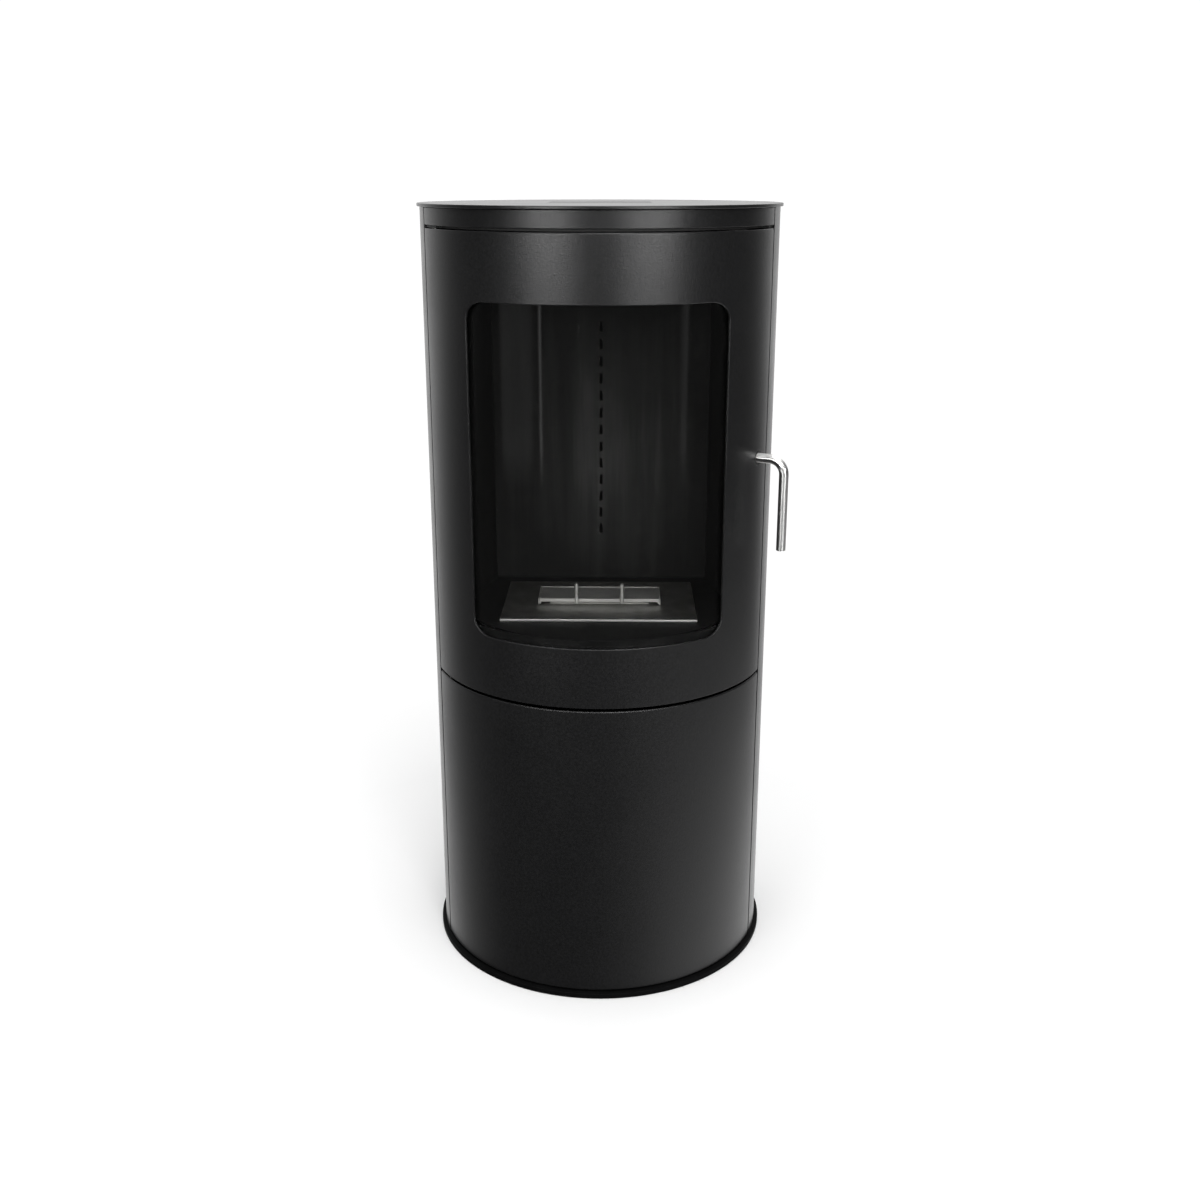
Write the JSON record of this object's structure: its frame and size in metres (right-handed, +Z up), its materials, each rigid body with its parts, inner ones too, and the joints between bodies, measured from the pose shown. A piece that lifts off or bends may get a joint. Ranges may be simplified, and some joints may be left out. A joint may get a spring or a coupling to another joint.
{
  "type": "free-standing stove",
  "caption": "Round free-standing stove with a curved glass fire door, a bent-rod handle, a storage door below and a slide-lid burner inside.",
  "frame": {"origin": "middle of the underside, on the floor", "axes": "+Z up, -Y out of the front with the doors, +X to the right as seen from the front"},
  "size_m": [0.466, 0.461, 1],
  "materials": {
    "black_paint": "satin black powder coat with a fine texture",
    "structure_paint": "matt black paint",
    "chamber_paint": "matt heat-resistant black, dulled by heat",
    "stainless": "brushed stainless steel",
    "plated_steel": "zinc-plated steel",
    "ceramic_glass": "clear dark-tinted ceramic glass",
    "gasket": "flat woven glass-fibre tape",
    "ceramic_wool": "absorbent ceramic fibre",
    "magnet_plastic": "matt black plastic"
  },
  "bodies": {
    "stove": {"base_plate": "black_paint", "outer_shell": "black_paint", "top_fascia": "black_paint", "top_plate": "black_paint", "mid_deck": "structure_paint", "top_deck": "structure_paint", "left_upright_lower": "structure_paint", "left_upright_upper": "structure_paint", "right_upright_lower": "structure_paint", "right_upright_upper": "structure_paint", "fire_door_stop": "structure_paint", "hinge_pin_bottom": "plated_steel", "hinge_pin_middle": "plated_steel", "hinge_pin_top": "plated_steel", "hearth_plate": "chamber_paint", "chamber_back_panel": "chamber_paint", "chamber_left_panel": "chamber_paint", "chamber_right_panel": "chamber_paint", "chamber_roof": "chamber_paint", "hearth_spacer_front_left": "plated_steel", "hearth_spacer_front_right": "plated_steel", "hearth_spacer_rear_left": "plated_steel", "hearth_spacer_rear_right": "plated_steel", "latch_keeper": "plated_steel", "magnet_catch": "magnet_plastic"},
    "fire_door": {"fire_door_panel": "black_paint", "fire_door_glass": "ceramic_glass", "glass_gasket": "gasket", "glass_retainer_top": "structure_paint", "glass_retainer_bottom": "structure_paint", "glass_retainer_left": "structure_paint", "glass_retainer_right": "structure_paint", "fire_door_lower_lug": "structure_paint", "fire_door_upper_lug": "structure_paint", "handle_bush": "structure_paint", "retainer_screw_top_left": "plated_steel", "retainer_screw_top_right": "plated_steel", "retainer_screw_bottom_left": "plated_steel", "retainer_screw_bottom_right": "plated_steel", "retainer_screw_left_lower": "plated_steel", "retainer_screw_left_upper": "plated_steel", "retainer_screw_right_lower": "plated_steel", "retainer_screw_right_upper": "plated_steel"},
    "handle": {"door_handle": "stainless", "latch_tongue": "plated_steel", "latch_washer": "plated_steel", "latch_nut": "plated_steel"},
    "lower_door": {"lower_door_panel": "black_paint", "magnet_strike": "plated_steel", "lower_door_lower_lug": "structure_paint", "lower_door_upper_lug": "structure_paint"},
    "burner": {"burner_top_plate": "stainless", "burner_tank": "stainless", "burner_collar": "stainless", "lid_guide": "stainless", "burner_ceramic_core": "ceramic_wool"},
    "burner_lid": {"burner_lid": "stainless", "lid_post_left": "stainless", "lid_post_right": "stainless"}
  },
  "joints": [
    {"name": "fire_door_hinge", "type": "hinge", "parent": "stove", "child": "fire_door", "pos_m": [-0.19733, -0.08786, 0.407], "axis": [0, 0, -1], "range_deg": [0, 110]},
    {"name": "handle_turn", "type": "hinge", "parent": "fire_door", "child": "handle", "pos_m": [0.19866, -0.10563, 0.697], "axis": [-0.8829, 0.4695, 0], "range_deg": [0, 90]},
    {"name": "lower_door_hinge", "type": "hinge", "parent": "stove", "child": "lower_door", "pos_m": [-0.19733, -0.08786, 0.0095], "axis": [0, 0, -1], "range_deg": [0, 110]},
    {"name": "burner_lift", "type": "slide", "parent": "stove", "child": "burner", "axis": [0, 0, 1], "range_m": [0, 0.075]},
    {"name": "lid_slide", "type": "slide", "parent": "burner", "child": "burner_lid", "axis": [0, -1, 0], "range_m": [0, 0.044]}
  ]
}
